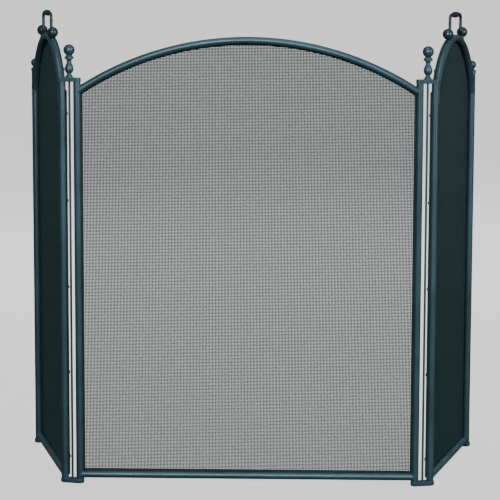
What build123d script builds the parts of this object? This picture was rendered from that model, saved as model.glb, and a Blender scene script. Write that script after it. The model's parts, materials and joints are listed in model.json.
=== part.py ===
# Three-fold fireplace screen: steel tube frames, woven mesh, two double-pivot hinges, two bail handles.
# +Z is up and the screen stands on z = 0. The front faces -Y and the side panels fold back towards +Y.
# The origin is the centre of the screen's footprint.
from build123d import *
from math import cos, radians, sin, sqrt
import os

os.makedirs("parts", exist_ok=True)

# ---- panels ----
CENTRE_SPAN = 586.0          # centre panel, post axis to post axis
SIDE_SPAN = 283.0            # side panel, post axis to post axis
POST_OD = 12.7
TUBE_WALL = 1.2
CROSS_OD = 12.3              # arches and bottom rails, a little slimmer than the posts they are welded to
RAIL_Z = 15.5                # axis of the bottom rails
ARCH_APEX_Z = 775.0          # axis of the arches at their highest point
CENTRE_ARCH_R = 530.0
SIDE_ARCH_R = 147.0

# ---- hinges: a link that both posts turn in ----
LINK = 27.0                  # post axis to post axis
LINK_ANGLE = 12.0            # link turned back from the line of the centre panel
PANEL_ANGLE = 72.5           # side panel turned back from the line of the centre panel
CAP_TOP_Z = 710.0
CAP_THICK = 7.0
CAP_DEPTH = 13.2
CAP_CORNER_R = 5.2
FOOT_THICK = 7.6
FOOT_DEPTH = 15.6
EDGE_R = 0.8                 # rounding of the caps' and feet's upper edges
SOLE_R = 2.2                 # rounding of the feet's lower edges
POST_GAP = 0.4               # between a post's end and the cap or foot it turns on
PIN_R = 3.0
PIN_LENGTH = 5.0
BORE_R = 3.06
BORE_END_GAP = 0.1
PLUG_LENGTH = 15.0
ROD_R = 2.0
ROD_HOLE_R = 2.1
NUT_ACROSS_FLATS = 7.0
NUT_THICK = 3.2
NUT_RECESS_R = 4.4
NUT_RECESS = 4.2

# ---- finials and outer feet ----
FINIAL_BALL_R = 9.7
FINIAL_HEIGHT = 56.8
FINIAL_BALL_FOOT_R = 4.8     # where the ball meets its collar
FINIAL_COLLAR_R = 7.9
FINIAL_COLLAR_Z = 32.4       # underside of the collar, above the cap
FINIAL_COLLAR = 2.2
FINIAL_NECK_R = 4.2
FINIAL_NECK_Z = 29.2
FINIAL_BELLY_R = 7.5
FINIAL_BELLY_Z = 14.6
FINIAL_SHOULDER_R = 5.2
FINIAL_SHOULDER_Z = 23.0
FINIAL_WAIST_R = 3.9
FINIAL_WAIST_Z = 7.0
FINIAL_BASE_R = 6.6
FINIAL_BASE = 1.4
FINIAL_THREAD = 12.0
OUTER_POST_TOP = 705.0
OUTER_BALL_R = 7.6
OUTER_BALL_Z = 720.5
OUTER_COLLAR_R = 7.3
OUTER_COLLAR = 5.5
OUTER_COLLAR_EDGE = 1.0
OUTER_NECK = 1.2
OUTER_BALL_FOOT_R = 4.2
OUTER_FOOT_R = 8.2
OUTER_PLUG = 11.0

# ---- mesh and the strips that clamp it to the back of the tubes ----
MESH_THICK = 0.6
STRIP_THICK = 1.5
STRIP_OUT = 2.5              # from a tube's axis to the strip's outer edge
STRIP_IN = 8.5               # from a tube's axis to the strip's inner edge
STRIP_JOINT = 0.5            # gap between the ends of neighbouring strips
STRIP_TOP_Z = 688.0
SCREW_R = 1.45
SCREW_HOLE_R = 1.5
SCREW_HEAD_R = 2.75
SCREW_HEAD = 1.4
SCREW_REACH = 6.4            # from the underside of the head to the tip
LOWEST_SCREW = 30.0          # on a post, above the bottom rail's axis
HIGHEST_SCREW = 40.0         # on a post, below the top of its strip
END_SCREW = 50.0             # on a bottom rail, from the post's axis
CENTRE_SCREWS = (5, 4, (-26, -13, 0, 13, 26))   # on each post, on the rail, and degrees along the arch
SIDE_SCREWS = (5, 3, (-50, 0, 50))
RECESS_WIDTH = 0.6
RECESS_DEPTH = 0.7
RECESS_LENGTH = 3.0

# ---- bail handles ----
BALL_R = 9.6
BALL_NECK = 2.0              # from the arch to the ball
BALL_NECK_R = 4.2
BALL_ANGLE = 19.2            # on the side arch, from its apex
SADDLE = 6.0                 # degrees of arch, either side of a ball, that its neck is shaped to
BAIL_R = 2.7
BAIL_BORE_R = 2.78
BAIL_LEG_IN = 13.2           # from a ball's centre to the leg beside it
BAIL_RISE = 32.7             # from the pivot axis to the grip's axis
BAIL_FOOT_BEND = 3.6
BAIL_TOP_BEND = 9.0
BAIL_PIN = 11.0              # from the leg's axis to the end of the pin in the ball
GRIP_R = 5.3
GRIP_SWELL = 0.8             # of the grip's swelling, reached halfway to its middle
GRIP_LENGTH = 58.0

POST_R = POST_OD / 2
PLUG_R = POST_R - TUBE_WALL
CROSS_R = CROSS_OD / 2
POST_BOTTOM = FOOT_THICK + POST_GAP
POST_TOP = CAP_TOP_Z - CAP_THICK - POST_GAP
ON_BASE = (Align.CENTER, Align.CENTER, Align.MIN)
MESH_Y = POST_R              # front of the mesh, behind the panel's plane
STRIP_Y = MESH_Y + MESH_THICK
HEAD_Y = STRIP_Y + STRIP_THICK

# the footprint's depth runs from the front of the hinge feet to the back of the outer feet
PANEL_BACK = LINK * sin(radians(LINK_ANGLE)) + SIDE_SPAN * sin(radians(PANEL_ANGLE))
CENTRE_Y = -(PANEL_BACK + OUTER_FOOT_R - FOOT_DEPTH / 2) / 2


def save(piece, name):
    piece.part.label = name
    export_step(piece.part, f"parts/{name}.step")


def upright(base):
    """The panel's own plane, seen from the front: x along the panel and y upwards."""
    return Plane(origin=base.origin, x_dir=base.x_dir, z_dir=-base.y_dir)


def arch_points(radius, angles):
    """Points on an arch's axis, at angles from its apex."""
    centre_z = ARCH_APEX_Z - radius
    return [(radius * sin(radians(a)), centre_z + radius * cos(radians(a))) for a in angles]


# ---- pieces that every panel has ----
def post(base, x, bottom, top, screw_heights):
    """Tube standing at x on the panel, drilled at the back for the strip's screws."""
    with BuildPart() as piece:
        with BuildSketch(base.offset(bottom)):
            with Locations((x, 0)):
                Circle(POST_R)
                Circle(PLUG_R, mode=Mode.SUBTRACT)
        extrude(amount=top - bottom)
        drill(base, [(x, z) for z in screw_heights])
    return piece


def cut_for_posts(base, span):
    """Shape the ends of a cross tube to the posts."""
    feet = [base.from_local_coords((x, 0, 0)) for x in (-span / 2, span / 2)]
    with Locations(*[Plane(origin=foot, x_dir=base.x_dir, z_dir=base.z_dir) for foot in feet]):
        Cylinder(POST_R, CAP_TOP_Z, align=ON_BASE, mode=Mode.SUBTRACT)


def drill(base, points):
    """Screw holes through the back wall of a tube, at points on the panel."""
    starts = [base.from_local_coords((x, 0, z)) for x, z in points]
    with Locations(*[Plane(origin=start, z_dir=base.y_dir) for start in starts]):
        Cylinder(SCREW_HOLE_R, POST_R, align=ON_BASE, mode=Mode.SUBTRACT)


def rail(base, span, points):
    """Bottom rail between two posts."""
    with BuildPart() as piece:
        middle = Plane(origin=base.from_local_coords((0, 0, RAIL_Z)), x_dir=(0, 0, 1), z_dir=base.x_dir)
        with BuildSketch(middle):
            Circle(CROSS_R)
            Circle(CROSS_R - TUBE_WALL, mode=Mode.SUBTRACT)
        extrude(amount=span / 2, both=True)
        cut_for_posts(base, span)
        drill(base, points)
    return piece


def arch(base, span, radius, points):
    """Bent tube over the panel, its ends shaped to the posts."""
    half_angle = 90 - degrees_at(span, radius)
    with BuildPart() as piece:
        with BuildLine(upright(base)) as path:
            CenterArc((0, ARCH_APEX_Z - radius), radius, half_angle, 180 - 2 * half_angle)
        outward = path.line @ 0 - base.from_local_coords((0, 0, ARCH_APEX_Z - radius))
        with BuildSketch(Plane(origin=path.line @ 0, x_dir=outward, z_dir=path.line % 0)):
            Circle(CROSS_R)
            Circle(CROSS_R - TUBE_WALL, mode=Mode.SUBTRACT)
        sweep()
        cut_for_posts(base, span)
        drill(base, points)
    return piece


def degrees_at(span, radius):
    """Angle from the apex at which an arch's axis meets its posts."""
    return Vector(0, 1).get_angle(Vector(span / 2, sqrt(radius**2 - (span / 2) ** 2)))


def mesh(base, span, radius, points):
    """Sheet of woven wire as one thin plate, from edge to edge of the strips."""
    half = span / 2 + STRIP_OUT
    outer = radius + STRIP_OUT
    centre_z = ARCH_APEX_Z - radius
    shoulder_z = centre_z + sqrt(outer**2 - half**2)
    with BuildPart() as piece:
        with BuildSketch(upright(base).offset(-MESH_Y)):
            with BuildLine():
                Polyline(
                    (-half, shoulder_z),
                    (-half, RAIL_Z - STRIP_OUT),
                    (half, RAIL_Z - STRIP_OUT),
                    (half, shoulder_z),
                )
                ThreePointArc((half, shoulder_z), (0, centre_z + outer), (-half, shoulder_z))
            make_face()
            with Locations(*points):
                Circle(SCREW_HOLE_R, mode=Mode.SUBTRACT)
        extrude(amount=-MESH_THICK)
    return piece


def flat_strip(base, x0, x1, z0, z1, points):
    """Straight clamping strip between two corners, on the back of the mesh."""
    with BuildPart() as piece:
        with BuildSketch(upright(base).offset(-STRIP_Y)):
            with Locations(((x0 + x1) / 2, (z0 + z1) / 2)):
                Rectangle(x1 - x0, z1 - z0)
            with Locations(*points):
                Circle(SCREW_HOLE_R, mode=Mode.SUBTRACT)
        extrude(amount=-STRIP_THICK)
    return piece


def arch_strip(base, span, radius, points):
    """Curved clamping strip that follows the arch, cut off square beside the upright strips."""
    reach = span / 2 - STRIP_IN - STRIP_JOINT
    centre_z = ARCH_APEX_Z - radius
    with BuildPart() as piece:
        with BuildSketch(upright(base).offset(-STRIP_Y)):
            with Locations((0, centre_z)):
                Circle(radius + STRIP_OUT)
                Circle(radius - STRIP_IN, mode=Mode.SUBTRACT)
            with Locations((0, ARCH_APEX_Z)):
                Rectangle(2 * reach, 2 * radius, mode=Mode.INTERSECT)
            with Locations(*points):
                Circle(SCREW_HOLE_R, mode=Mode.SUBTRACT)
        extrude(amount=-STRIP_THICK)
    return piece


def screws(base, points):
    """Pan-head screws through the strips and the mesh into the tubes, one solid each."""
    with BuildPart() as piece:
        with BuildSketch(upright(base).offset(-HEAD_Y)):
            with Locations(*points):
                Circle(SCREW_R)
        extrude(amount=SCREW_REACH)
        with BuildSketch(upright(base).offset(-HEAD_Y)):
            with Locations(*points):
                Circle(SCREW_HEAD_R)
        extrude(amount=-SCREW_HEAD)
        with BuildSketch(upright(base).offset(-HEAD_Y - SCREW_HEAD)):
            with Locations(*points):
                Rectangle(RECESS_LENGTH, RECESS_WIDTH)
                Rectangle(RECESS_WIDTH, RECESS_LENGTH)
        extrude(amount=RECESS_DEPTH, mode=Mode.SUBTRACT)
    return piece


def pivots(base, places):
    """Plugs pressed into the ends of hinge posts, each with the pin that it turns on."""
    with BuildPart() as piece:
        for end, outward in ((POST_BOTTOM, -1), (POST_TOP, 1)):
            with BuildSketch(base.offset(end)):
                with Locations(*[(x, 0) for x in places]):
                    Circle(PLUG_R)
            extrude(amount=-outward * PLUG_LENGTH)
            with BuildSketch(base.offset(end)):
                with Locations(*[(x, 0) for x in places]):
                    Circle(PIN_R)
            extrude(amount=outward * (POST_GAP + PIN_LENGTH))
    return piece


def spread(low, high, count):
    """Evenly spaced places from low to high."""
    return [low + (high - low) * i / (count - 1) for i in range(count)]


def panel(name, base, span, radius, posts, screw_plan):
    """All the pieces of one panel. posts holds a name, a place and the two ends of each post."""
    post_screws, rail_screws, arch_angles = screw_plan
    heights = spread(RAIL_Z + LOWEST_SCREW, STRIP_TOP_Z - HIGHEST_SCREW, post_screws)
    rail_points = [(x, RAIL_Z) for x in spread(END_SCREW - span / 2, span / 2 - END_SCREW, rail_screws)]
    top_points = arch_points(radius, arch_angles)
    post_points = [(x, z) for x in (-span / 2, span / 2) for z in heights]
    all_points = post_points + rail_points + top_points
    inner = span / 2 - STRIP_IN
    outer = span / 2 + STRIP_OUT
    foot_z = RAIL_Z - STRIP_OUT

    for post_name, x, bottom, top in posts:
        save(post(base, x, bottom, top, heights), f"{name}_{post_name}")
        ends = (inner, outer) if x > 0 else (-outer, -inner)
        strip = flat_strip(base, *ends, foot_z, STRIP_TOP_Z, [(x, z) for z in heights])
        save(strip, f"{name}_{post_name}_strip")
    save(arch(base, span, radius, top_points), f"{name}_arch")
    save(arch_strip(base, span, radius, top_points), f"{name}_arch_strip")
    save(rail(base, span, rail_points), f"{name}_bottom_rail")
    reach = inner - STRIP_JOINT
    bottom_strip = flat_strip(base, -reach, reach, foot_z, RAIL_Z + STRIP_IN, rail_points)
    save(bottom_strip, f"{name}_bottom_strip")
    save(mesh(base, span, radius, all_points), f"{name}_mesh")
    save(screws(base, all_points), f"{name}_screws")
    save(pivots(base, [x for _, x, _, top in posts if top == POST_TOP]), f"{name}_pivots")


# ---- hinge pieces ----
def hinge_cap(base):
    """Bar over the two posts, bored from below for their pins."""
    with BuildPart() as piece:
        with BuildSketch(base.offset(CAP_TOP_Z - CAP_THICK)):
            RectangleRounded(LINK + CAP_DEPTH, CAP_DEPTH, CAP_CORNER_R)
            Circle(ROD_HOLE_R, mode=Mode.SUBTRACT)
        extrude(amount=CAP_THICK)
        fillet(piece.faces().sort_by(Axis.Z)[-1].outer_wire().edges(), radius=EDGE_R)
        with BuildSketch(base.offset(CAP_TOP_Z - CAP_THICK)):
            with Locations((-LINK / 2, 0), (LINK / 2, 0)):
                Circle(BORE_R)
        extrude(amount=PIN_LENGTH + BORE_END_GAP, mode=Mode.SUBTRACT)
    return piece


def hinge_foot(base):
    """Round-ended foot under the two posts, bored from above for their pins."""
    with BuildPart() as piece:
        with BuildSketch(base):
            SlotCenterToCenter(LINK, FOOT_DEPTH)
            Circle(ROD_HOLE_R, mode=Mode.SUBTRACT)
        extrude(amount=FOOT_THICK)
        fillet(piece.faces().sort_by(Axis.Z)[0].outer_wire().edges(), radius=SOLE_R)
        fillet(piece.faces().sort_by(Axis.Z)[-1].outer_wire().edges(), radius=EDGE_R)
        with BuildSketch(base.offset(FOOT_THICK)):
            with Locations((-LINK / 2, 0), (LINK / 2, 0)):
                Circle(BORE_R)
        extrude(amount=-(PIN_LENGTH + BORE_END_GAP), mode=Mode.SUBTRACT)
        with BuildSketch(base):
            Circle(NUT_RECESS_R)
        extrude(amount=NUT_RECESS, mode=Mode.SUBTRACT)
    return piece


def tie_rod(base):
    """Rod from the nut under the foot to the finial on the cap, which clamps the hinge together."""
    bottom = NUT_RECESS - NUT_THICK
    with BuildPart() as piece:
        with BuildSketch(base.offset(bottom)):
            Circle(ROD_R)
        extrude(amount=CAP_TOP_Z + FINIAL_THREAD - bottom)
    return piece


def rod_nut(base):
    with BuildPart() as piece:
        with BuildSketch(base.offset(NUT_RECESS - NUT_THICK)):
            RegularPolygon(NUT_ACROSS_FLATS / 2, 6, major_radius=False)
            Circle(ROD_R, mode=Mode.SUBTRACT)
        extrude(amount=NUT_THICK)
    return piece


def hinge_finial(base):
    """Turned ball and vase that screws down on the tie rod."""
    section = Plane(
        origin=base.from_local_coords((0, 0, CAP_TOP_Z)), x_dir=base.x_dir, z_dir=-base.y_dir
    )
    ball_z = FINIAL_HEIGHT - FINIAL_BALL_R
    base_edge = (FINIAL_BASE_R, FINIAL_BASE)
    flare = (FINIAL_WAIST_R + 1, (FINIAL_WAIST_Z + FINIAL_BASE) / 2)
    waist = (FINIAL_WAIST_R, FINIAL_WAIST_Z)
    belly = (FINIAL_BELLY_R, FINIAL_BELLY_Z)
    shoulder = (FINIAL_SHOULDER_R, FINIAL_SHOULDER_Z)
    neck = (FINIAL_NECK_R, FINIAL_NECK_Z)
    collar = (FINIAL_COLLAR_R, FINIAL_COLLAR_Z)
    collar_top = (FINIAL_COLLAR_R, FINIAL_COLLAR_Z + FINIAL_COLLAR)
    ball_foot = (FINIAL_BALL_FOOT_R, ball_z - sqrt(FINIAL_BALL_R**2 - FINIAL_BALL_FOOT_R**2))
    with BuildPart() as piece:
        with BuildSketch(section):
            with BuildLine():
                Polyline((0, FINIAL_HEIGHT), (0, 0), (FINIAL_BASE_R, 0), base_edge)
                Spline(base_edge, flare, waist, tangents=((-0.6, 1), (0.15, 1)))
                Spline(waist, belly, shoulder, neck, tangents=((0.7, 0.7), (0.1, 1)))
                Spline(neck, collar, tangents=((0.3, 1), (1, 0.3)))
                Polyline(collar, collar_top, ball_foot)
                ThreePointArc(ball_foot, (FINIAL_BALL_R, ball_z), (0, FINIAL_HEIGHT))
            make_face()
        revolve(axis=Axis(section.origin, (0, 0, 1)))
        with BuildSketch(base.offset(CAP_TOP_Z)):
            Circle(ROD_R)
        extrude(amount=FINIAL_THREAD, mode=Mode.SUBTRACT)
    return piece


# ---- side panel ends ----
def outer_finial(base, x):
    """Small ball on a collar, pressed into the top of an outer post."""
    axis_plane = Plane(origin=base.from_local_coords((x, 0, 0)), x_dir=base.x_dir, z_dir=-base.y_dir)
    collar_top = OUTER_POST_TOP + OUTER_COLLAR
    ball_foot = (OUTER_BALL_FOOT_R, OUTER_BALL_Z - sqrt(OUTER_BALL_R**2 - OUTER_BALL_FOOT_R**2))
    with BuildPart() as piece:
        with BuildSketch(axis_plane):
            with BuildLine():
                Polyline(
                    (0, OUTER_BALL_Z + OUTER_BALL_R),
                    (0, OUTER_POST_TOP - OUTER_PLUG),
                    (PLUG_R, OUTER_POST_TOP - OUTER_PLUG),
                    (PLUG_R, OUTER_POST_TOP),
                    (OUTER_COLLAR_R, OUTER_POST_TOP),
                    (OUTER_COLLAR_R, collar_top - OUTER_COLLAR_EDGE),
                    (OUTER_COLLAR_R - OUTER_COLLAR_EDGE, collar_top),
                    (OUTER_BALL_FOOT_R, collar_top + OUTER_NECK),
                    ball_foot,
                )
                ThreePointArc(
                    ball_foot,
                    (OUTER_BALL_R, OUTER_BALL_Z),
                    (0, OUTER_BALL_Z + OUTER_BALL_R),
                )
            make_face()
        revolve(axis=Axis(axis_plane.origin, (0, 0, 1)))
    return piece


def outer_foot(base, x):
    """Round foot pressed into the bottom of an outer post."""
    with BuildPart() as piece:
        with BuildSketch(base):
            with Locations((x, 0)):
                Circle(OUTER_FOOT_R)
        extrude(amount=FOOT_THICK)
        fillet(piece.faces().sort_by(Axis.Z)[0].edges(), radius=SOLE_R)
        fillet(piece.faces().sort_by(Axis.Z)[-1].edges(), radius=EDGE_R)
        with BuildSketch(base.offset(FOOT_THICK)):
            with Locations((x, 0)):
                Circle(PLUG_R)
        extrude(amount=OUTER_PLUG)
    return piece


# ---- bail handle ----
BALL_DISTANCE = SIDE_ARCH_R + CROSS_R + BALL_NECK + BALL_R
BALL_X = BALL_DISTANCE * sin(radians(BALL_ANGLE))
PIVOT_Z = ARCH_APEX_Z - SIDE_ARCH_R + BALL_DISTANCE * cos(radians(BALL_ANGLE))
BORE_END_X = BALL_X - BAIL_LEG_IN + BAIL_PIN + BORE_END_GAP


def handle_ball(base, side):
    """Ball on a short neck on the arch, bored on its inner side for the bail's pin."""
    face = upright(base)
    lean = radians(BALL_ANGLE)
    outward = face.x_dir * (side * sin(lean)) + face.y_dir * cos(lean)
    arch_centre = base.from_local_coords((0, 0, ARCH_APEX_Z - SIDE_ARCH_R))
    arch_angle = 90 - side * BALL_ANGLE
    with BuildPart() as piece:
        with BuildSketch(Plane(origin=arch_centre + outward * SIDE_ARCH_R, z_dir=outward)):
            Circle(BALL_NECK_R)
        extrude(amount=CROSS_R + BALL_NECK + BALL_R / 2)
        with Locations(Plane(origin=arch_centre + outward * BALL_DISTANCE, z_dir=outward)):
            Sphere(BALL_R)
        with BuildLine(face) as path:
            CenterArc((0, ARCH_APEX_Z - SIDE_ARCH_R), SIDE_ARCH_R, arch_angle - SADDLE, 2 * SADDLE)
        with BuildSketch(Plane(origin=path.line @ 0, z_dir=path.line % 0)):
            Circle(CROSS_R)
        sweep(mode=Mode.SUBTRACT)
        bore_end = base.from_local_coords((side * BORE_END_X, 0, PIVOT_Z))
        with BuildSketch(Plane(origin=bore_end, z_dir=base.x_dir * -side)):
            Circle(BAIL_BORE_R)
        extrude(amount=BAIL_LEG_IN, mode=Mode.SUBTRACT)
    return piece


def bail(base):
    """Bent bar with out-turned pins and a swelled grip in the middle."""
    leg_x = BALL_X - BAIL_LEG_IN
    top_z = PIVOT_Z + BAIL_RISE
    with BuildPart() as piece:
        with BuildLine(upright(base)) as path:
            pin = Line((-leg_x - BAIL_PIN, PIVOT_Z), (-leg_x - BAIL_FOOT_BEND, PIVOT_Z))
            low_bend = JernArc(pin @ 1, (1, 0), BAIL_FOOT_BEND, 90)
            leg = Line(low_bend @ 1, (-leg_x, top_z - BAIL_TOP_BEND))
            high_bend = JernArc(leg @ 1, (0, 1), BAIL_TOP_BEND, -90)
            Line(high_bend @ 1, (0, top_z))
        with BuildSketch(Plane(origin=path.line @ 0, z_dir=path.line % 0)):
            Circle(BAIL_R)
        sweep()
        with BuildSketch(upright(base)):
            with BuildLine():
                Line((0, top_z), (-GRIP_LENGTH / 2, top_z))
                Line((-GRIP_LENGTH / 2, top_z), (-GRIP_LENGTH / 2, top_z + BAIL_R))
                Spline(
                    (-GRIP_LENGTH / 2, top_z + BAIL_R),
                    (-GRIP_LENGTH / 4, top_z + BAIL_R + GRIP_SWELL * (GRIP_R - BAIL_R)),
                    (0, top_z + GRIP_R),
                    tangents=((1, 0.05), (1, 0)),
                )
                Line((0, top_z + GRIP_R), (0, top_z))
            make_face()
        revolve(axis=Axis(base.from_local_coords((0, 0, top_z)), base.x_dir))
        mirror(about=Plane(origin=base.origin, z_dir=base.x_dir))
    return piece


# ---- the screen ----
centre_base = Plane(origin=(0, CENTRE_Y, 0), x_dir=(1, 0, 0), z_dir=(0, 0, 1))
centre_posts = [
    ("left_post", -CENTRE_SPAN / 2, POST_BOTTOM, POST_TOP),
    ("right_post", CENTRE_SPAN / 2, POST_BOTTOM, POST_TOP),
]
panel("centre", centre_base, CENTRE_SPAN, CENTRE_ARCH_R, centre_posts, CENTRE_SCREWS)

for side_name, side in (("left", -1), ("right", 1)):
    link_way = Vector(side * cos(radians(LINK_ANGLE)), sin(radians(LINK_ANGLE)))
    panel_way = Vector(side * cos(radians(PANEL_ANGLE)), sin(radians(PANEL_ANGLE)))
    centre_post_axis = Vector(side * CENTRE_SPAN / 2, CENTRE_Y)
    side_post_axis = centre_post_axis + link_way * LINK

    link_middle = centre_post_axis + link_way * (LINK / 2)
    link_base = Plane(origin=link_middle, x_dir=link_way * side, z_dir=(0, 0, 1))
    save(hinge_cap(link_base), f"{side_name}_hinge_cap")
    save(hinge_foot(link_base), f"{side_name}_hinge_foot")
    save(tie_rod(link_base), f"{side_name}_tie_rod")
    save(rod_nut(link_base), f"{side_name}_rod_nut")
    save(hinge_finial(link_base), f"{side_name}_hinge_finial")

    side_middle = side_post_axis + panel_way * (SIDE_SPAN / 2)
    side_base = Plane(origin=side_middle, x_dir=panel_way * side, z_dir=(0, 0, 1))
    inner_x = -side * SIDE_SPAN / 2
    side_posts = [
        ("inner_post", inner_x, POST_BOTTOM, POST_TOP),
        ("outer_post", -inner_x, FOOT_THICK, OUTER_POST_TOP),
    ]
    panel(side_name, side_base, SIDE_SPAN, SIDE_ARCH_R, side_posts, SIDE_SCREWS)
    save(outer_finial(side_base, -inner_x), f"{side_name}_outer_finial")
    save(outer_foot(side_base, -inner_x), f"{side_name}_outer_foot")
    save(handle_ball(side_base, -side), f"{side_name}_handle_ball_front")
    save(handle_ball(side_base, side), f"{side_name}_handle_ball_back")
    save(bail(side_base), f"{side_name}_bail_handle")
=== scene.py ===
"""Looks of a three-fold fireplace screen: painted tubes, woven wire, turned finials and bail handles.

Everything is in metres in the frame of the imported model. The front faces -Y, and the left and right
panels fold back towards +Y. Every panel has a plane of its own, in which x runs along the panel to the
viewer's right, y runs to its back and z runs up.
"""
import json
import math

import bpy
import numpy as np
from mathutils import Matrix, Vector


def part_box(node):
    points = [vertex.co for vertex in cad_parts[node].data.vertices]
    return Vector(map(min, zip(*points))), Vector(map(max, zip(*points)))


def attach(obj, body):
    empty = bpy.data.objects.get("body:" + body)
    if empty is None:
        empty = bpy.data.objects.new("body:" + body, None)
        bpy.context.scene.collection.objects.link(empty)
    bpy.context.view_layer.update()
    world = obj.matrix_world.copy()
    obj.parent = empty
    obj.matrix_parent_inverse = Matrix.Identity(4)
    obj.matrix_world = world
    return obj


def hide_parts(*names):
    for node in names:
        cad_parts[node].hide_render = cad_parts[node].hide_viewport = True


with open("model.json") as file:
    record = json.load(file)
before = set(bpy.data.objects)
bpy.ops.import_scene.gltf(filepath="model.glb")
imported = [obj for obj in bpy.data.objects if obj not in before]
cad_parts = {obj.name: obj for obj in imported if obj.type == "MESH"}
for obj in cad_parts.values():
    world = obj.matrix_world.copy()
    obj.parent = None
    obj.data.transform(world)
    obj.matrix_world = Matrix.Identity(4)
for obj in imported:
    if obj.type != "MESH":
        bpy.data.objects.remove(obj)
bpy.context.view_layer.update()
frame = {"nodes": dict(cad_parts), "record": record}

MM = 0.001

# ---- the object ----
WIRE_PITCH = 2.54 * MM            # ten wires to the inch
WIRE_RADIUS = 0.66 * MM           # picked for the mesh's tone, thicker than usual
CENTRE_ARCH_RADIUS = 530 * MM     # axis of the arch tube
SIDE_ARCH_RADIUS = 147 * MM
CROSS_TUBE_RADIUS = 6.15 * MM     # arches and bottom rails
RAIL_HEIGHT = 15.5 * MM           # axis of the bottom rails
ARCH_TOP = 775 * MM               # axis of the arches at their highest point
BALL_ANGLE = math.radians(19.2)   # handle balls on the side arches, from the apex
NECK_RADIUS = 4.2 * MM
BEAD_RADIUS = 1.0 * MM            # weld beads
KINK = 0.92                       # how far a wire bends off the mesh's plane, in wire radii
MESH_DEPTH = 0.3 * MM             # middle of the mesh behind the backs of the posts
SEED = 7

# ---- paint ----
RUBBED_WIDTH = 1.2 * MM           # how far wear reaches from an edge
DUST_COLOUR = (0.32, 0.31, 0.29)

# ---- camera and light ----
CAMERA_TARGET = (0.044, 0.0, 0.511)
CAMERA_DISTANCE = 3.369
CAMERA_AZIMUTH = 1.04
CAMERA_ELEVATION = 6.85
CAMERA_ROLL = 0.25
CAMERA_SHIFT = (-0.05, -0.13)
LENS = 135.5
SENSOR = 36.0
BACKDROP_RADIUS = 60.0


# ---- panels ----
class Panel:
    """One leaf of the screen: its name, its body and its own plane."""

    def __init__(self, name, left_foot, right_foot, arch_radius):
        self.name = name
        self.body = name if name == "centre" else f"{name}_panel"
        left, right = Vector(left_foot).xy, Vector(right_foot).xy
        along = (right - left).normalized()
        middle = (left + right) / 2
        self.span = (right - left).length
        self.arch_radius = arch_radius
        back = Vector((-along.y, along.x))
        self.matrix = Matrix((
            (along.x, back.x, 0, middle.x),
            (along.y, back.y, 0, middle.y),
            (0, 0, 1, 0),
            (0, 0, 0, 1),
        ))


def joint_place(name):
    return next(j["pos_m"] for j in frame["record"]["behaviour"]["joints"] if j["name"] == name)


def mount_place(name):
    return next(m["pos_m"] for m in frame["record"]["mounts"] if m["name"] == name)


PANELS = (
    Panel("centre", joint_place("left_centre_pivot"), joint_place("right_centre_pivot"), CENTRE_ARCH_RADIUS),
    Panel("left", mount_place("left_outer_foot_base"), joint_place("left_panel_pivot"), SIDE_ARCH_RADIUS),
    Panel("right", joint_place("right_panel_pivot"), mount_place("right_outer_foot_base"), SIDE_ARCH_RADIUS),
)
post_low, post_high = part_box("centre_left_post")
POST_RADIUS = (post_high.x - post_low.x) / 2


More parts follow.
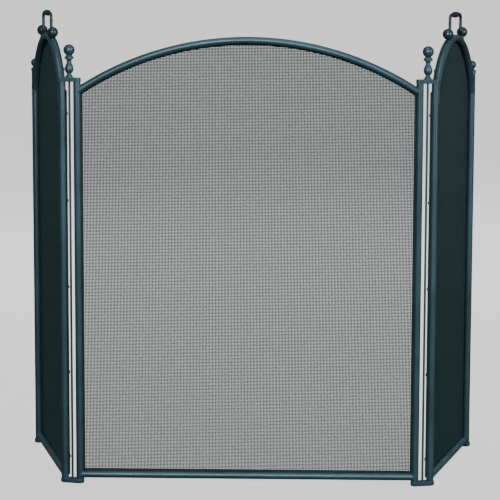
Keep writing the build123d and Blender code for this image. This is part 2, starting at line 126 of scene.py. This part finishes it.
# ---- materials ----
class Shader:
    """A small helper that builds one material out of noise, ramps and mixes."""

    def __init__(self, name):
        self.material = bpy.data.materials.new(name)
        self.material.use_nodes = True
        self.tree = self.material.node_tree
        self.surface = self.tree.nodes["Principled BSDF"]
        self.coords = self.tree.nodes.new("ShaderNodeTexCoord").outputs["Object"]

    def link(self, source, target):
        self.tree.links.new(source, target)

    def noise(self, scale, detail=4.0, roughness=0.55, stretch=(1, 1, 1)):
        mapping = self.tree.nodes.new("ShaderNodeMapping")
        mapping.inputs["Scale"].default_value = stretch
        self.link(self.coords, mapping.inputs["Vector"])
        node = self.tree.nodes.new("ShaderNodeTexNoise")
        node.inputs["Scale"].default_value = scale
        node.inputs["Detail"].default_value = detail
        node.inputs["Roughness"].default_value = roughness
        self.link(mapping.outputs["Vector"], node.inputs["Vector"])
        return node.outputs["Fac"]

    def remap(self, value, low, high, to_low, to_high):
        node = self.tree.nodes.new("ShaderNodeMapRange")
        node.inputs["From Min"].default_value = low
        node.inputs["From Max"].default_value = high
        node.inputs["To Min"].default_value = to_low
        node.inputs["To Max"].default_value = to_high
        self.link(value, node.inputs["Value"])
        return node.outputs["Result"]

    def maths(self, operation, a, b):
        node = self.tree.nodes.new("ShaderNodeMath")
        node.operation = operation
        for value, target in zip((a, b), node.inputs):
            if isinstance(value, (int, float)):
                target.default_value = value
            else:
                self.link(value, target)
        return node.outputs["Value"]

    def blend(self, factor, a, b):
        """Colour a where factor is 0 and b where it is 1."""
        node = self.tree.nodes.new("ShaderNodeMix")
        node.data_type = "RGBA"
        self.link(factor, node.inputs["Factor"])
        for value, target in zip((a, b), (node.inputs[6], node.inputs[7])):
            if isinstance(value, tuple):
                target.default_value = (*value, 1)
            else:
                self.link(value, target)
        return node.outputs[2]

    def edges(self, width):
        """1 on sharp outer edges and 0 on flat and gently curved faces."""
        bevel = self.tree.nodes.new("ShaderNodeBevel")
        bevel.samples = 4
        bevel.inputs["Radius"].default_value = width
        geometry = self.tree.nodes.new("ShaderNodeNewGeometry")
        dot = self.tree.nodes.new("ShaderNodeVectorMath")
        dot.operation = "DOT_PRODUCT"
        self.link(bevel.outputs["Normal"], dot.inputs[0])
        self.link(geometry.outputs["Normal"], dot.inputs[1])
        return self.remap(dot.outputs["Value"], 0.99, 0.90, 0.0, 1.0)

    def upwards(self):
        """How far the surface faces up, from 0 to 1."""
        geometry = self.tree.nodes.new("ShaderNodeNewGeometry")
        split = self.tree.nodes.new("ShaderNodeSeparateXYZ")
        self.link(geometry.outputs["Normal"], split.inputs["Vector"])
        return self.remap(split.outputs["Z"], 0.35, 1.0, 0.0, 1.0)

    def bump(self, height, depth, strength=1.0, under=None):
        node = self.tree.nodes.new("ShaderNodeBump")
        node.inputs["Strength"].default_value = strength
        node.inputs["Distance"].default_value = depth
        self.link(height, node.inputs["Height"])
        if under is not None:
            self.link(under, node.inputs["Normal"])
        return node.outputs["Normal"]


def paint(name, colour, worn, roughness=(0.36, 0.48), wear=0.5, dust=0.10):
    """Baked enamel on steel: faint orange peel, a little dust on top, rubbed edges."""
    shader = Shader(name)
    deep = tuple(c * 0.72 for c in colour)
    tone = shader.remap(shader.noise(9.0, 3.0), 0.35, 0.65, 0.0, 1.0)
    coat = shader.blend(tone, deep, colour)
    specks = shader.remap(shader.noise(60.0, 6.0), 0.4, 0.75, 0.0, dust)
    dusty = shader.maths("MULTIPLY", shader.upwards(), specks)
    coat = shader.blend(dusty, coat, DUST_COLOUR)
    rub = shader.remap(shader.noise(170.0, 5.0, 0.7), 0.42, 0.62, 0.0, wear)
    rubbed = shader.maths("MULTIPLY", shader.edges(RUBBED_WIDTH), rub)
    coat = shader.blend(rubbed, coat, worn)
    shader.link(coat, shader.surface.inputs["Base Color"])
    gloss = shader.remap(shader.noise(35.0, 5.0, 0.6), 0.3, 0.7, *roughness)
    dulled = shader.maths("ADD", gloss, shader.maths("MULTIPLY", dusty, 0.8))
    shader.link(dulled, shader.surface.inputs["Roughness"])
    peel = shader.bump(shader.noise(420.0, 2.0), 0.06 * MM, 0.35)
    grain = shader.bump(shader.noise(2600.0, 2.0), 0.012 * MM, 0.3, under=peel)
    shader.link(grain, shader.surface.inputs["Normal"])
    shader.surface.inputs["Specular IOR Level"].default_value = 0.42
    shader.surface.inputs["Metallic"].default_value = 0.5
    return shader.material


def wire_paint(name, colour, lit):
    """Thin dark coating over drawn wire, lighter in patches, with small specks of a lit copy of its colour
    painted on as glints.
    """
    shader = Shader(name)
    patch = shader.remap(shader.noise(14.0, 4.0, 0.6), 0.35, 0.68, 0.0, 1.0)
    # specks towards the lit colour: painted glints, light catching the wire painted into its colour
    fine = shader.remap(shader.noise(520.0, 3.0, 0.6), 0.35, 0.7, 0.0, 0.7)
    coat = shader.blend(patch, tuple(c * 0.8 for c in colour), colour)
    shader.link(shader.blend(fine, coat, lit), shader.surface.inputs["Base Color"])
    gloss = shader.remap(shader.noise(90.0, 4.0), 0.3, 0.7, 0.34, 0.52)
    shader.link(gloss, shader.surface.inputs["Roughness"])
    shader.link(shader.bump(shader.noise(3000.0, 2.0), 0.02 * MM, 0.5), shader.surface.inputs["Normal"])
    shader.surface.inputs["Specular IOR Level"].default_value = 0.3
    return shader.material


def bare_steel(name):
    """Turned zinc-bright steel of the pins and nuts."""
    shader = Shader(name)
    turned = shader.noise(700.0, 4.0, 0.6, stretch=(0.05, 0.05, 1))
    tone = shader.remap(turned, 0.3, 0.7, 0.0, 1.0)
    metal = shader.blend(tone, (0.33, 0.33, 0.34), (0.52, 0.52, 0.51))
    shader.link(metal, shader.surface.inputs["Base Color"])
    shader.link(shader.remap(turned, 0.3, 0.7, 0.28, 0.45), shader.surface.inputs["Roughness"])
    shader.link(shader.bump(turned, 0.02 * MM, 0.4), shader.surface.inputs["Normal"])
    shader.surface.inputs["Metallic"].default_value = 1.0
    return shader.material


FRAME_PAINT = paint("frame_paint", (0.040, 0.088, 0.112), (0.16, 0.20, 0.21))
HANDLE_PAINT = paint("handle_paint", (0.022, 0.050, 0.060), (0.18, 0.20, 0.20), (0.26, 0.42), 0.6)
FIXING_PAINT = paint("fixing_paint", (0.022, 0.032, 0.034), (0.22, 0.22, 0.21), (0.38, 0.55), 0.7)
# the second colour is a lit copy of the first, painted on the wires in small specks as glints
WIRE_PAINT = wire_paint("wire_paint", (0.009, 0.027, 0.029), (0.024, 0.050, 0.052))
STEEL = bare_steel("bare_steel")
SLOT_MATERIALS = {
    "frame_paint": FRAME_PAINT,
    "handle_paint": HANDLE_PAINT,
    "fixings": FIXING_PAINT,
    "mesh_wire": WIRE_PAINT,
    "pivot_steel": STEEL,
}


def coat_cad_nodes():
    for part in frame["record"]["subparts"]:
        mesh = frame["nodes"][part["node"]].data
        mesh.materials.clear()
        mesh.materials.append(SLOT_MATERIALS[part["material_slot"]])


# ---- meshes ----
def add_piece(name, vertices, faces, panel, material):
    """A mesh made in the panel's own plane, in its place on the panel's body."""
    mesh = bpy.data.meshes.new(name)
    mesh.vertices.add(len(vertices))
    mesh.vertices.foreach_set("co", np.asarray(vertices, np.float32).ravel())
    faces = np.asarray(faces, np.int32)
    mesh.loops.add(faces.size)
    mesh.loops.foreach_set("vertex_index", faces.ravel())
    mesh.polygons.add(len(faces))
    mesh.polygons.foreach_set("loop_start", np.arange(0, faces.size, faces.shape[1], dtype=np.int32))
    mesh.polygons.foreach_set("use_smooth", np.full(len(faces), True))
    mesh.update(calc_edges=True)
    mesh.validate()
    mesh.transform(panel.matrix)
    mesh.materials.append(material)
    piece = bpy.data.objects.new(name, mesh)
    bpy.context.collection.objects.link(piece)
    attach(piece, panel.body)
    return piece


def tube_faces(rings, sides, first=0):
    """Quads of an open tube, ring after ring, whose vertices start at first."""
    ring, side = np.meshgrid(np.arange(rings - 1), np.arange(sides), indexing="ij")
    ring, side = ring.ravel(), side.ravel()
    following = (side + 1) % sides
    return np.stack([
        first + ring * sides + side,
        first + ring * sides + following,
        first + (ring + 1) * sides + following,
        first + (ring + 1) * sides + side,
    ], axis=1)


# ---- woven wire ----
def wire_set(lines, ends, crossings, depth, upright):
    """Wires side by side at lines, each kinked over and under the wires that it crosses.

    ends gives the low and high end of each wire, and crossings the places of the wires across it.
    """
    corners = np.radians(90 * np.arange(4))
    vertices, faces, count = [], [], 0
    for number, (line, (low, high)) in enumerate(zip(lines, ends)):
        inside = np.nonzero((crossings > low) & (crossings < high))[0]
        along = np.concatenate([[low], crossings[inside], [high]])
        bow = np.where((inside + number) % 2 == 0, 1.0, -1.0) * (1 if upright else -1)
        bow = np.concatenate([[-bow[0]], bow, [-bow[-1]]]) * WIRE_RADIUS * KINK
        sideways = np.tile(line + WIRE_RADIUS * np.cos(corners), (len(along), 1))
        inwards = depth + bow[:, None] + WIRE_RADIUS * np.sin(corners)[None, :]
        lengthways = np.repeat(along[:, None], 4, axis=1)
        axes = (sideways, inwards, lengthways) if upright else (lengthways, inwards, sideways)
        vertices.append(np.stack(axes, axis=-1).reshape(-1, 3))
        faces.append(tube_faces(len(along), 4, count))
        last = count + 4 * (len(along) - 1)
        caps = [[count + 3, count + 2, count + 1, count], [last, last + 1, last + 2, last + 3]]
        faces.append(np.array(caps))
        count += 4 * len(along)
    return np.concatenate(vertices), np.concatenate(faces)


def woven_mesh(panel):
    """Plain weave in the outline of the CAD plate, which it stands for."""
    plate = f"{panel.name}_mesh"
    low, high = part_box(plate)
    overlap = high.z - ARCH_TOP
    half = panel.span / 2 + overlap
    outer = panel.arch_radius + overlap
    arch_centre = ARCH_TOP - panel.arch_radius
    shoulder = arch_centre + math.sqrt(outer**2 - half**2)
    columns = int(2 * half / WIRE_PITCH)
    rows = int((high.z - low.z) / WIRE_PITCH)
    xs = (np.arange(columns + 1) - columns / 2) * WIRE_PITCH
    zs = low.z + (np.arange(rows) + 0.5) * WIRE_PITCH
    tops = arch_centre + np.sqrt(outer**2 - xs**2)
    reach = np.sqrt(np.maximum(outer**2 - np.maximum(zs - arch_centre, 0) ** 2, 0))
    reach = np.where(zs < shoulder, half, reach)
    upright_ends = [(low.z + WIRE_RADIUS, top - WIRE_RADIUS) for top in tops]
    level_ends = [(WIRE_RADIUS - r, r - WIRE_RADIUS) for r in reach]
    depth = POST_RADIUS + MESH_DEPTH
    sets = (
        ("upright_wires", wire_set(xs, upright_ends, zs, depth, True)),
        ("level_wires", wire_set(zs, level_ends, xs, depth, False)),
    )
    for name, (vertices, faces) in sets:
        piece = add_piece(f"{panel.name}_{name}", vertices, faces, panel, WIRE_PAINT)
        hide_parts(plate)


# ---- welds ----
def bead(curve, rng):
    """Closed, slightly uneven weld bead along a closed curve."""
    count, sides = len(curve), 8
    ahead = np.roll(curve, -1, axis=0) - np.roll(curve, 1, axis=0)
    ahead /= np.linalg.norm(ahead, axis=1)[:, None]
    outwards = curve - curve.mean(axis=0)
    outwards -= (outwards * ahead).sum(axis=1)[:, None] * ahead
    outwards /= np.linalg.norm(outwards, axis=1)[:, None]
    across = np.cross(ahead, outwards)
    place = np.arange(count) / count * 2 * np.pi
    swell = 1 + 0.10 * np.sin(18 * place) + 0.10 * np.sin(3 * place + rng.uniform(0, 6))
    radius = BEAD_RADIUS * (swell + rng.normal(0, 0.03, count))
    turn = 2 * np.pi * np.arange(sides) / sides
    spokes = np.cos(turn)[None, :, None] * outwards[:, None] + np.sin(turn)[None, :, None] * across[:, None]
    vertices = (curve[:, None] + radius[:, None, None] * spokes).reshape(-1, 3)
    faces = np.concatenate([tube_faces(count, sides), tube_faces(2, sides) + (count - 1) * sides])
    return vertices, np.where(faces >= count * sides, faces - count * sides, faces)


def post_joints(panel):
    """Curves in which a panel's rail and arch meet its posts."""
    turn = np.linspace(0, 2 * np.pi, 144, endpoint=False)
    y = CROSS_TUBE_RADIUS * np.sin(turn)
    rise = CROSS_TUBE_RADIUS * np.cos(turn)
    x = panel.span / 2 - np.sqrt(POST_RADIUS**2 - y**2)
    ring = panel.arch_radius + rise
    arch_z = ARCH_TOP - panel.arch_radius + np.sqrt(ring**2 - x**2)
    for side in (-1, 1):
        yield np.stack([side * x, y, RAIL_HEIGHT + rise], axis=1)
        yield np.stack([side * x, y, arch_z], axis=1)


def neck_joints(panel):
    """Curves in which the necks of the handle balls meet a side arch."""
    turn = np.linspace(0, 2 * np.pi, 72, endpoint=False)
    y = NECK_RADIUS * np.sin(turn)
    out = panel.arch_radius + np.sqrt(CROSS_TUBE_RADIUS**2 - y**2)
    along = NECK_RADIUS * np.cos(turn)
    for side in (-1, 1):
        sine, cosine = side * math.sin(BALL_ANGLE), math.cos(BALL_ANGLE)
        x = out * sine + along * cosine
        z = ARCH_TOP - panel.arch_radius + out * cosine - along * sine
        yield np.stack([x, y, z], axis=1)


def welds(panel):
    rng = np.random.default_rng(SEED)
    curves = list(post_joints(panel))
    if panel.name != "centre":
        curves += neck_joints(panel)
    vertices, faces, count = [], [], 0
    for curve in curves:
        bead_vertices, bead_faces = bead(curve, rng)
        vertices.append(bead_vertices)
        faces.append(bead_faces + count)
        count += len(bead_vertices)
    vertices, faces = np.concatenate(vertices), np.concatenate(faces)
    add_piece(f"{panel.name}_welds", vertices, faces, panel, FRAME_PAINT)


# ---- stage ----
def backdrop_material():
    """Dark matt floor with a pale glow of its own, so that it stays even far from the lamps."""
    shader = Shader("backdrop")
    tone = shader.remap(shader.noise(2.0, 3.0), 0.3, 0.7, 0.0, 1.0)
    grey = shader.blend(tone, (0.105, 0.105, 0.105), (0.115, 0.115, 0.115))
    shader.link(grey, shader.surface.inputs["Base Color"])
    shader.surface.inputs["Roughness"].default_value = 0.95
    shader.surface.inputs["Specular IOR Level"].default_value = 0.0
    shader.surface.inputs["Emission Color"].default_value = (1, 1, 1, 1)
    shader.surface.inputs["Emission Strength"].default_value = 1.05
    return shader.material


def add_backdrop():
    """Floor out to a round wall. The metal doesn't mirror them, as if they were hung with black."""
    material = backdrop_material()
    bpy.ops.mesh.primitive_plane_add(size=2 * BACKDROP_RADIUS)
    floor = bpy.context.object
    floor.name = "floor"
    bpy.ops.mesh.primitive_cylinder_add(
        vertices=96,
        radius=BACKDROP_RADIUS,
        depth=BACKDROP_RADIUS,
        end_fill_type="NOTHING",
        location=(0, 0, BACKDROP_RADIUS / 2),
    )
    wall = bpy.context.object
    wall.name = "wall"
    for stage in (floor, wall):
        stage.data.materials.append(material)
        stage.visible_glossy = False
        stage.visible_diffuse = False


def add_softbox(name, place, aim, size, power, reflected=True):
    light = bpy.data.objects.new(name, bpy.data.lights.new(name, "AREA"))
    light.data.shape = "RECTANGLE"
    light.data.size, light.data.size_y = size
    light.data.energy = power
    light.location = place
    light.visible_glossy = reflected
    light.rotation_euler = (Vector(aim) - Vector(place)).to_track_quat("-Z", "Y").to_euler()
    bpy.context.collection.objects.link(light)


def add_lights():
    world = bpy.data.worlds.new("studio")
    world.use_nodes = True
    background = world.node_tree.nodes["Background"]
    background.inputs["Color"].default_value = (1, 1, 1, 1)
    background.inputs["Strength"].default_value = 0.06
    bpy.context.scene.world = world
    add_softbox("front_softbox", (-0.3, -3.4, 1.7), (0, 0, 0.4), (1.1, 1.1), 120)
    add_softbox("right_softbox", (2.9, -1.9, 1.5), (0.3, 0, 0.5), (1.0, 1.4), 85)
    add_softbox("back_softbox", (2.0, 3.0, 2.2), (0, 0, 0.4), (1.5, 1.5), 260, reflected=False)
    add_softbox("back_left_softbox", (-2.4, 2.6, 1.2), (0, 0, 0.4), (1.3, 1.3), 160, reflected=False)
    add_softbox("top_softbox", (0, -0.8, 3.4), (0, 0, 0), (2.0, 1.5), 30)


def add_camera():
    azimuth, elevation = math.radians(CAMERA_AZIMUTH), math.radians(CAMERA_ELEVATION)
    back = Vector((
        math.sin(azimuth) * math.cos(elevation),
        -math.cos(azimuth) * math.cos(elevation),
        math.sin(elevation),
    ))
    camera = bpy.data.objects.new("camera", bpy.data.cameras.new("camera"))
    camera.data.lens = LENS
    camera.data.sensor_width = SENSOR
    camera.data.shift_x, camera.data.shift_y = CAMERA_SHIFT
    turned = (-back).to_track_quat("-Z", "Y").to_matrix().to_4x4()
    roll = Matrix.Rotation(math.radians(CAMERA_ROLL), 4, "Z")
    camera.matrix_world = Matrix.Translation(Vector(CAMERA_TARGET) + back * CAMERA_DISTANCE) @ turned @ roll
    bpy.context.collection.objects.link(camera)
    bpy.context.scene.camera = camera


coat_cad_nodes()
for leaf in PANELS:
    woven_mesh(leaf)
    welds(leaf)
add_backdrop()
add_lights()
add_camera()
